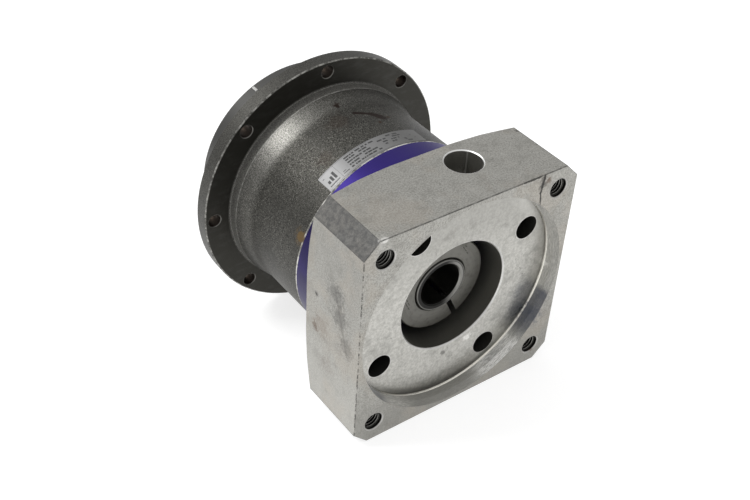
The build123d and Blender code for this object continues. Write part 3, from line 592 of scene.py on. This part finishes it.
def flange_tones(g, radius, grain, lathe):
    """Colour of the flange: turned and oily on its back, grained on its rim, worn at the edge."""
    smear = g.step(g.noise(0.16, 4.0, 0.65, stretch=(1.0, 0.2, 2.5)), 0.45, 0.70)
    tone = g.mix(lathe, grey(0.028, 0.14), grey(0.050, 0.14))
    tone = g.paint(tone, grey(0.07, 0.06), smear, 0.35)
    rim_tone = g.mix(g.step(grain, 0.36, 0.66), grey(0.035, 0.09), grey(0.105, 0.09))
    tone = g.paint(tone, rim_tone, g.step(radius, FLANGE_R - 0.7, FLANGE_R - 0.5))
    edge = g.band(radius, FLANGE_R - 0.55, FLANGE_R + 0.1, 0.13, 0.15)
    at_back = g.step(g.y, FLANGE_BACK + 0.55, FLANGE_BACK + 0.4)
    broken = g.step(g.noise(0.35, 4.0, 0.75), 0.40, 0.62, 0.05, 0.8)
    return g.paint(tone, grey(0.42, 0.06), edge, at_back, broken)


def flange_holes(g, colour):
    """Oily walls and worn rims of the flange's bolt holes."""
    gap = g.from_axes(*FLANGE_HOLES)
    rim = g.band(gap, FLANGE_HOLE_R + 0.05, FLANGE_HOLE_R + 0.45, 0.1)
    colour = g.paint(colour, OILED_HOLE, g.step(gap, FLANGE_HOLE_R + 0.15, FLANGE_HOLE_R + 0.03))
    return g.paint(colour, grey(0.22, 0.06), rim, 0.6)


def housing_wear(g, radius, colour):
    """The bare edge at the housing's mouth, the rust stains and the chips."""
    bare = g.together(
        g.step(g.y, HOUSING_MOUTH + 0.75, HOUSING_MOUTH + 0.45),
        g.step(radius, BARREL_R - 0.7, BARREL_R - 0.5),
    )
    patchy = g.step(g.noise(0.30, 3.0, 0.6), 0.36, 0.58, 0.25, 1.0)
    colour = g.paint(colour, grey(0.75, 0.06), bare, patchy)
    rust = g.step(g.noise(0.45, 4.0, 0.7), 0.42, 0.62)
    for angle, y, reach, strength, tone in HOUSING_STAINS:
        near = g.step(g.distance(on_barrel(angle, y)), reach, reach * 0.25)
        cover = g.math("MAXIMUM", rust, g.step(near, 0.7, 0.95))
        colour = g.paint(colour, tone, near, cover, strength)
    wander = g.wander(1.4, 1.0)
    for start, end, width in HOUSING_CHIPS:
        gap = g.segment(on_barrel(*start), on_barrel(*end))
        gap = g.math("ABSOLUTE", g.math("ADD", gap, wander))
        colour = g.paint(colour, CHIPPED, g.step(gap, width, width * 0.4))
    return colour


def housing_material():
    g = Graph("cast_housing")
    radius = g.radius()
    grain = g.noise(2.4, 3.0, 0.75)
    lathe = g.turning(3.0)
    colour, rough = housing_casting(g, grain)
    colour, rough = housing_shoulder(g, radius, grain, colour, rough)
    on_nose = g.step(g.y, FLANGE_FACE + 0.2, FLANGE_FACE + 0.4)
    colour = g.paint(colour, g.mix(lathe, grey(0.07, 0.04), grey(0.12, 0.04)), on_nose)
    rough = g.blend(on_nose, rough, 0.34)
    on_flange = g.together(
        g.step(radius, BOSS_FOOT_R - 0.3, BOSS_FOOT_R + 0.1),
        g.step(g.y, FLANGE_BACK - 0.6, FLANGE_BACK - 0.2),
    )
    colour = g.paint(colour, flange_tones(g, radius, grain, lathe), on_flange)
    rough = g.blend(on_flange, rough, 0.45)
    colour = housing_wear(g, radius, flange_holes(g, colour))
    machined = g.math("MAXIMUM", on_nose, on_flange)
    g.bump(g.together(grain, g.invert(machined)), 0.06)
    g.bump(g.together(lathe, machined), 0.006)
    return g.finish(colour, rough)


# ---------------------------------------------------------------- other materials
def ring_material():
    """Violet anodised aluminium, turned, with clouds and pale scuffs."""
    g = Graph("violet_anodised", metallic=0.85)
    deep, bright = (0.022, 0.013, 0.120, 1.0), (0.036, 0.022, 0.185, 1.0)
    shaded, cloudy = (0.014, 0.011, 0.050, 1.0), (0.030, 0.018, 0.140, 1.0)
    scuffed = (0.10, 0.075, 0.24, 1.0)
    lathe = g.turning(4.0)
    cloud = g.noise(0.12, 3.0)
    scuff = g.step(g.noise(0.8, 4.0, 0.75, stretch=(1.0, 3.0, 1.0)), 0.66, 0.8)
    colour = g.mix(lathe, deep, bright)
    colour = g.paint(colour, shaded, g.step(g.x, -22.0, -38.0), 0.8)
    colour = g.paint(colour, cloudy, g.step(cloud, 0.4, 0.75, 0.0, 0.4))
    colour = g.paint(colour, scuffed, scuff, 0.3)
    g.bump(lathe, 0.004)
    return g.finish(colour, g.blend(cloud, 0.32, 0.46))


def steel_material(name, dark, light, rough_low, rough_high, centre=(0.0, 0.0)):
    """Turned or ground steel with rings round its own axis, stains and fine scratches."""
    g = Graph(name, metallic=1.0)
    lathe = g.turning(3.0, centre)
    stain = g.noise(0.3, 4.0, 0.6)
    scratch = g.step(g.noise(1.2, 3.0, 0.8, stretch=(0.3, 1.0, 4.0)), 0.66, 0.74)
    colour = g.mix(lathe, dark, light)
    colour = g.paint(colour, grey(dark[1] * 0.6, 0.06), g.step(stain, 0.52, 0.75, 0.0, 0.35))
    colour = g.paint(colour, light, scratch, 0.2)
    g.bump(lathe, 0.005)
    return g.finish(colour, g.blend(stain, rough_low, rough_high))


def sleeve_material():
    """The input sleeve: a worn rim round a coned mouth with painted shade on its left and painted
    light on its right, and an oily dark bore.
    """
    g = Graph("sleeve_steel", metallic=1.0)
    radius = g.radius()
    lathe = g.turning(3.0)
    stain = g.noise(0.5, 4.0, 0.7)
    colour = g.mix(lathe, grey(0.13, 0.06), grey(0.21, 0.06))
    colour = g.paint(colour, grey(0.16, 0.08), g.step(stain, 0.5, 0.7, 0.0, 0.4))
    at_mouth = g.step(g.y, SLEEVE_FACE + 0.7, SLEEVE_FACE + 0.4)
    cone = g.step(radius, SLEEVE_R - 0.55, SLEEVE_R - 0.75)
    # painted shade on the cone's left side, painted light on its right
    painted_cone_shading = g.mix(g.step(g.x, 1.0, 8.5), grey(0.020, 0.06), grey(0.24, 0.06))
    colour = g.paint(colour, painted_cone_shading, at_mouth, cone)
    groove = g.band(radius, SLEEVE_R - 0.85, SLEEVE_R - 0.4, 0.15)
    colour = g.paint(colour, grey(0.02, 0.06), at_mouth, groove, 0.85)
    bore = g.together(
        g.step(radius, SLEEVE_BORE_R + 0.15, SLEEVE_BORE_R + 0.05),
        g.step(g.y, SLEEVE_FACE + 0.6, SLEEVE_FACE + 0.9),
    )
    colour = g.paint(colour, g.mix(lathe, grey(0.12, 0.08), grey(0.20, 0.08)), bore)
    g.bump(lathe, 0.005)
    return g.finish(colour, g.blend(stain, 0.25, 0.4))


# x and z of both ends of each stroke on the clamp ring's face
HUB_STROKES = [
    ((9.8, 14.6), (10.6, 13.6)),
    ((10.9, 12.9), (11.7, 11.9)),
    ((12.0, 11.2), (12.6, 10.3)),
    ((11.0, 14.8), (11.7, 14.0)),
    ((-17.8, -1.0), (-17.0, -2.0)),
    ((-16.6, -2.6), (-15.8, -4.4)),
    ((-15.4, -5.0), (-14.8, -6.2)),
    ((-16.8, 0.0), (-15.9, -1.6)),
    ((-15.6, -2.4), (-14.9, -3.9)),
]


def hub_material():
    """Turned clamp ring; a worn engraving is hinted at with plain short strokes."""
    g = Graph("clamp_steel", metallic=1.0)
    lathe = g.turning(2.4)
    stain = g.noise(0.35, 4.0, 0.65)
    colour = g.mix(lathe, grey(0.13, 0.09), grey(0.20, 0.09))
    colour = g.paint(colour, grey(0.085, 0.12), g.step(stain, 0.48, 0.70, 0.0, 0.45))
    for (start_x, start_z), (end_x, end_z) in HUB_STROKES:
        gap = g.segment((start_x, CLAMP_FACE, start_z), (end_x, CLAMP_FACE, end_z))
        colour = g.paint(colour, grey(0.03, 0.10), g.step(gap, 0.28, 0.12), 0.65)
    g.bump(lathe, 0.003)
    return g.finish(colour, g.blend(stain, 0.36, 0.5))


def rubber_material():
    g = Graph("seal_rubber", Specular_IOR_Level=0.45)
    dust = g.noise(0.8, 4.0, 0.7)
    colour = g.mix(g.step(dust, 0.45, 0.75), grey(0.012, 0.02), grey(0.035, 0.05))
    g.bump(g.turning(5.0), 0.01)
    return g.finish(colour, g.blend(dust, 0.42, 0.62))


def foil_material():
    """Brushed silver foil, creased, with painted shade over most of its right part."""
    g = Graph("label_foil", metallic=0.7)
    brushed = g.noise(2.5, 3.0, 0.6, stretch=(1.0, 6.0, 1.0))
    crease = g.noise(0.25, 3.0, 0.6)
    colour = g.mix(brushed, grey(0.20), grey(0.28))
    colour = g.paint(colour, grey(0.15, 0.04), g.step(crease, 0.55, 0.8, 0.0, 0.3))
    painted_shading_tone = g.mix(g.noise(1.2, 4.0, 0.7), grey(0.07, 0.04), grey(0.15, 0.03))
    # painted shade over most of the label's right part
    colour = g.paint(colour, painted_shading_tone, g.step(g.x, -12.0, 10.0), 0.75)
    g.bump(crease, 0.03)
    return g.finish(colour, g.blend(brushed, 0.34, 0.46))


def thread_material():
    """Cut threads: dark flanks as painted shade, with painted highlights on the crests near the
    mouth.
    """
    g = Graph("cut_threads", metallic=1.0)
    gap = g.from_axes(*MOTOR_HOLES)
    burr = g.noise(1.5, 3.0, 0.7)
    crest_r = MOTOR_THREAD[1]
    # painted highlights on the crests near the mouth
    crest = g.together(
        g.step(gap, crest_r + 0.16, crest_r + 0.04),
        g.step(g.y, MOTOR_FACE + 9.0, MOTOR_FACE + 2.0),
    )
    # painted shade on the flanks
    colour = g.mix(burr, grey(0.018, 0.08), grey(0.045, 0.08))
    colour = g.paint(colour, grey(0.50, 0.06), crest, 0.6)
    g.bump(burr, 0.01)
    return g.finish(colour, g.blend(burr, 0.25, 0.4))


def ink_material():
    g = Graph("label_ink")
    worn = g.noise(2.0, 4.0, 0.7)
    colour = g.mix(g.step(worn, 0.5, 0.8), grey(0.02), grey(0.12))
    return g.finish(colour, g.blend(worn, 0.4, 0.6))


def paint_material():
    g = Graph("paint_mark")
    chip = g.noise(1.5, 4.0, 0.7)
    colour = g.mix(g.step(chip, 0.4, 0.75), grey(0.46, 0.03), grey(0.30, 0.05))
    g.bump(chip, 0.03)
    return g.finish(colour, g.blend(chip, 0.4, 0.6))


def brass_material():
    g = Graph("brass_cage", metallic=1.0)
    tarnish = g.noise(0.6, 4.0, 0.6)
    colour = g.mix(tarnish, (0.42, 0.28, 0.09, 1.0), (0.66, 0.47, 0.18, 1.0))
    g.bump(g.turning(4.0), 0.005)
    return g.finish(colour, g.blend(tarnish, 0.25, 0.45))


FLOOR_GLOW = 0.74               # keeps the floor as pale as the backdrop


def floor_material():
    g = Graph("floor", Specular_IOR_Level=0.2, Emission_Strength=FLOOR_GLOW)
    g.shader.inputs["Emission Color"].default_value = (1.0, 1.0, 1.0, 1.0)
    fine = g.noise(0.6, 3.0, 0.6)
    colour = g.mix(g.noise(0.004, 3.0, 0.5), grey(0.38), grey(0.42))
    g.bump(fine, 0.02)
    return g.finish(colour, g.blend(fine, 0.75, 0.85))


# ---------------------------------------------------------------- mesh helpers
def mesh_object(name, mesh_data, material, body):
    """Turns a bmesh into a piece that rides on a CAD body."""
    bmesh.ops.recalc_face_normals(mesh_data, faces=mesh_data.faces)
    mesh = bpy.data.meshes.new(name)
    mesh_data.to_mesh(mesh)
    mesh_data.free()
    piece = bpy.data.objects.new(name, mesh)
    bpy.context.scene.collection.objects.link(piece)
    mesh.materials.append(material)
    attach(piece, body)


def skin(target, sections):
    """Joins a row of four-sided sections into one closed bar."""
    for first, second in zip(sections, sections[1:]):
        for corner in range(4):
            following = (corner + 1) % 4
            ring = (first[corner], first[following], second[following], second[corner])
            target.faces.new(ring)
    target.faces.new(sections[0])
    target.faces.new(reversed(sections[-1]))


THREAD_STEPS = 28               # sections in one turn of a thread
THREAD_ROOT = 0.03              # how far a thread's foot is sunk into the hole's wall


def thread_mesh(target, centre, mouth, inward, hole_r, inner_r, pitch, depth):
    """Adds the helical ridge of a tapped hole that runs along Y, fading out at both ends."""
    count = depth / pitch * THREAD_STEPS
    root_r = hole_r + THREAD_ROOT
    half_foot = pitch * 0.44
    half_crest = pitch * 0.07
    sections = []
    for index in range(int(count) + 1):
        angle = 2 * pi * index / THREAD_STEPS
        y = mouth + inward * (pitch * index / THREAD_STEPS)
        fade = min(1.0, index / (THREAD_STEPS * 0.75), (count - index) / (THREAD_STEPS * 0.5))
        crest_r = hole_r - (hole_r - inner_r) * max(fade, 0.05)
        profile = (
            (root_r, -half_foot),
            (crest_r, -half_crest),
            (crest_r, half_crest),
            (root_r, half_foot),
        )
        section = []
        for radius, shift in profile:
            x = centre[0] + radius * cos(angle)
            z = centre[1] + radius * sin(angle)
            section.append(target.verts.new(Vector((x, y + shift, z)) * MM))
        sections.append(section)
    skin(target, sections)


PATCH_COLUMN = 2.0              # degrees that one flat column of a patch spans


def bent_patch(target, radius, thickness, angles, span):
    """Adds a thin closed patch that follows a cylinder about Y."""
    start, end = (radians(angle) for angle in angles)
    columns = max(1, int(abs(end - start) / radians(PATCH_COLUMN)) + 1)
    low, high = span
    profile = ((0, low), (thickness, low), (thickness, high), (0, high))
    sections = []
    for column in range(columns + 1):
        angle = start + (end - start) * column / columns
        section = []
        for height, y in profile:
            reach = radius + height
            place = Vector((reach * cos(angle), y, reach * sin(angle)))
            section.append(target.verts.new(place * MM))
        sections.append(section)
    skin(target, sections)


# ---------------------------------------------------------------- pieces
def axis_places(count, start, circle_r):
    """x and z of each axis of a ring."""
    angles = [radians(start + 360 * index / count) for index in range(count)]
    return [(circle_r * cos(angle), circle_r * sin(angle)) for angle in angles]


def tapped_threads(steel, cut):
    """Threads of the tapped motor holes and of the tapped output flange holes."""
    target = bmesh.new()
    for centre in axis_places(*MOTOR_HOLES):
        thread_mesh(target, centre, MOTOR_FACE + 0.9, 1, *MOTOR_THREAD)
    mesh_object("motor_hole_threads", target, cut, "housing")
    target = bmesh.new()
    for centre in axis_places(*OUTPUT_HOLES):
        thread_mesh(target, centre, OUTPUT_FACE - 0.8, -1, *OUTPUT_THREAD)
    mesh_object("output_hole_threads", target, steel, "output_carrier")


LABEL_MARGIN = 0.35
PRINT_LINE = 0.10               # width of the label's printed lines
PRINT_DIVIDER = 7.6             # the upright line right of the emblem, from the left end
EMBLEM_BARS = 3

# left, right, low and high of the emblem's base line and of two plain dashes beside it
LABEL_BLOCKS = [
    (1.3, 6.4, 1.5, 1.95),
    (8.6, 11.4, 1.6, 1.95),
    (8.8, 10.2, 2.6, 2.9),
]
DASH_START = 12.6               # the rows of dashes start this far from the left end
DASH_END = 3.0                  # and stop this far from the right end
DASH_ROWS = (1.4, 2.95, 4.5, 6.05, 7.4)
DASH_HEIGHT = 0.8
DASH_LENGTHS = (0.6, 2.6)
DASH_GAPS = (0.25, 0.25, 0.7)


def label_print(ink):
    """Generic print on the foil: three plain bars, divider lines and rows of dashes."""
    surface_r = label_high.z    # the label crosses the top of the barrel
    degrees_per_mm = 180 / (pi * surface_r)
    left_end, right_end = LABEL_ANGLES
    bottom = label_low.y
    height = label_high.y - label_low.y
    length = (left_end - right_end) / degrees_per_mm
    target = bmesh.new()

    def block(u0, u1, v0, v1):
        """A printed block; u runs along the label from its left end, v across it."""
        angles = (left_end - u0 * degrees_per_mm, left_end - u1 * degrees_per_mm)
        bent_patch(target, surface_r - 0.02, 0.04, angles, (bottom + v0, bottom + v1))

    low_line = LABEL_MARGIN + 0.1
    top = height - LABEL_MARGIN
    block(LABEL_MARGIN, length - 16.0, low_line, low_line + PRINT_LINE)
    block(LABEL_MARGIN, length - 24.0, top - PRINT_LINE, top)
    block(PRINT_DIVIDER, PRINT_DIVIDER + PRINT_LINE, LABEL_MARGIN, top)
    for index in range(EMBLEM_BARS):
        block(1.7 + index * 1.7, 2.8 + index * 1.7, 3.0, 4.6 + index * 1.1)
    for edges in LABEL_BLOCKS:
        block(*edges)
    for v in DASH_ROWS:
        u = DASH_START
        while u < length - DASH_END:
            dash = random.uniform(*DASH_LENGTHS)
            worn = (u - DASH_START) / (length - DASH_END - DASH_START)
            if random.random() < 0.9 - 0.75 * worn:
                block(u, min(u + dash, length - 1.6), v, v + DASH_HEIGHT)
            u += dash + random.choice(DASH_GAPS)
    for u, v in ((1.0, 6.9), (length - 9.0, 2.6), (length - 5.5, 5.0), (length - 4.2, 3.1)):
        block(u, u + 0.8, v, v + 0.3)
    mesh_object("label_print", target, ink, "housing")


MARK_ANGLES = (117.2, 115.8)    # degrees from +X towards +Z
MARK_SPAN = (4.2, 1.0)          # distances from the nose's end


def nose_paint_mark(paint):
    """The short painted line at the nose's end."""
    target = bmesh.new()
    span = tuple(NOSE_END - distance for distance in MARK_SPAN)
    bent_patch(target, BARREL_R - 0.01, 0.03, MARK_ANGLES, span)
    mesh_object("nose_paint_mark", target, paint, "housing")


# ---------------------------------------------------------------- stage, light, camera
REST_EDGE_Y = (-104.2, -6.5)    # the plate's and the flange's lowest edges touch the floor
FLOOR_HALF = 14000.0
FLOOR_SEGMENTS = 32


def floor_height(y):
    """Height of the floor plane: it carries the plate's lower edge and the flange's rim."""
    low_y, high_y = REST_EDGE_Y
    share = (y - low_y) / (high_y - low_y)
    return plate_low.z + (housing_low.z - plate_low.z) * share


def build_floor():
    ticks = [FLOOR_HALF * (2 * step / FLOOR_SEGMENTS - 1) for step in range(FLOOR_SEGMENTS + 1)]
    target = bmesh.new()
    grid = [[target.verts.new(Vector((x, y, floor_height(y))) * MM) for x in ticks] for y in ticks]
    for near, far in zip(grid, grid[1:]):
        for column in range(FLOOR_SEGMENTS):
            corners = (near[column], near[column + 1], far[column + 1], far[column])
            target.faces.new(corners)
    mesh = bpy.data.meshes.new("floor")
    target.to_mesh(mesh)
    target.free()
    floor = bpy.data.objects.new("floor", mesh)
    bpy.context.scene.collection.objects.link(floor)
    mesh.materials.append(floor_material())


ZENITH = 0.88                   # brightness of the studio's ceiling
HORIZON = 0.54                  # and of its walls


def build_world():
    """A pale studio: bright above, dimmer round the horizon, plain white behind the object."""
    world = bpy.data.worlds.new("studio")
    world.use_nodes = True
    tree = world.node_tree
    background = tree.nodes["Background"]
    direction = tree.nodes.new("ShaderNodeTexCoord").outputs["Generated"]
    split = tree.nodes.new("ShaderNodeSeparateXYZ")
    tree.links.new(direction, split.inputs[0])
    level = tree.nodes.new("ShaderNodeMapRange")
    level.interpolation_type = "SMOOTHSTEP"
    tree.links.new(split.outputs["Z"], level.inputs["Value"])
    level.inputs["From Min"].default_value = 0.05
    level.inputs["From Max"].default_value = 0.95
    level.inputs["To Min"].default_value = HORIZON
    level.inputs["To Max"].default_value = ZENITH
    seen = tree.nodes.new("ShaderNodeLightPath").outputs["Is Camera Ray"]
    white = tree.nodes.new("ShaderNodeMath")
    white.operation = "MAXIMUM"
    tree.links.new(level.outputs["Result"], white.inputs[0])
    tree.links.new(seen, white.inputs[1])
    tree.links.new(white.outputs[0], background.inputs["Strength"])
    background.inputs["Color"].default_value = (1.0, 1.0, 1.0, 1.0)
    bpy.context.scene.world = world


KEY_PLACE = (-606.0, 411.0, 944.0)
KEY_TARGET = (0.0, -40.0, 0.0)
KEY_SIDE = 400.0
KEY_WATTS = 8.5


def build_key_light():
    """One soft square light, high up behind the object's output side."""
    place = Vector(KEY_PLACE) * MM
    data = bpy.data.lights.new("key", "AREA")
    data.shape = "SQUARE"
    data.size = KEY_SIDE * MM
    data.energy = KEY_WATTS
    light = bpy.data.objects.new("key", data)
    light.location = place
    aim = Vector(KEY_TARGET) * MM - place
    light.rotation_euler = aim.to_track_quat("-Z", "Y").to_euler()
    bpy.context.scene.collection.objects.link(light)


CAMERA_PLACE = (-234.51, -345.79, 291.72)
CAMERA_HEADING = -38.034        # degrees, turned from +Y towards +X
CAMERA_TILT = 38.582            # degrees below the horizon
CAMERA_ROLL = 3.7925
CAMERA_LENS = 55.308            # on a 36 mm sensor


def build_camera():
    data = bpy.data.cameras.new("camera")
    data.sensor_width = 36.0
    data.lens = CAMERA_LENS
    data.clip_start = 0.01
    data.clip_end = 50.0
    camera = bpy.data.objects.new("camera", data)
    turn = Matrix.Rotation(radians(CAMERA_HEADING), 4, "Z")
    turn @= Matrix.Rotation(radians(90 - CAMERA_TILT), 4, "X")
    turn @= Matrix.Rotation(radians(CAMERA_ROLL), 4, "Z")
    camera.matrix_world = Matrix.Translation(Vector(CAMERA_PLACE) * MM) @ turn
    bpy.context.scene.collection.objects.link(camera)
    bpy.context.scene.camera = camera


# ---------------------------------------------------------------- dress the CAD nodes
GEAR_LOOK = (grey(0.26, 0.02), grey(0.36, 0.02), 0.30, 0.45)

# by material slot: the material's name, its dark and light tone, its lowest and highest roughness
STEELS = {
    "ground_steel": ("ground_steel", grey(0.30, 0.02), grey(0.42, 0.02), 0.22, 0.36),
    "turned_steel": ("turned_steel", grey(0.135, 0.05), grey(0.20, 0.05), 0.32, 0.46),
    "gear_steel": ("gear_steel", *GEAR_LOOK),
    "black_screw": ("black_oxide", grey(0.012), grey(0.03), 0.35, 0.5),
    "spring_steel": ("spring_steel", grey(0.05, 0.04), grey(0.09, 0.04), 0.35, 0.5),
    "bearing_ball": ("bearing_ball", grey(0.55), grey(0.66), 0.08, 0.16),
}


def dress(node, material):
    slots = nodes[node].data.materials
    slots.clear()
    slots.append(material)


def dress_all():
    by_slot = {slot: steel_material(*look) for slot, look in STEELS.items()}
    by_slot["cast_housing"] = housing_material()
    by_slot["raw_aluminium"] = plate_material()
    by_slot["violet_ring"] = ring_material()
    by_slot["brass_cage"] = brass_material()
    by_slot["seal_rubber"] = rubber_material()
    by_slot["label_foil"] = foil_material()
    for part in frame["record"]["subparts"]:
        dress(part["node"], by_slot[part["material_slot"]])
    for number, centre in enumerate(axis_places(*PLANETS), start=1):
        dress(f"planet_gear_{number}", steel_material(f"gear_steel_{number}", *GEAR_LOOK, centre))
    dress("input_shaft", sleeve_material())
    dress("clamp_ring", hub_material())
    tapped_threads(by_slot["ground_steel"], thread_material())
    label_print(ink_material())
    nose_paint_mark(paint_material())


build_camera()
build_world()
build_key_light()
bpy.context.scene.view_settings.view_transform = "Standard"
build_floor()
dress_all()
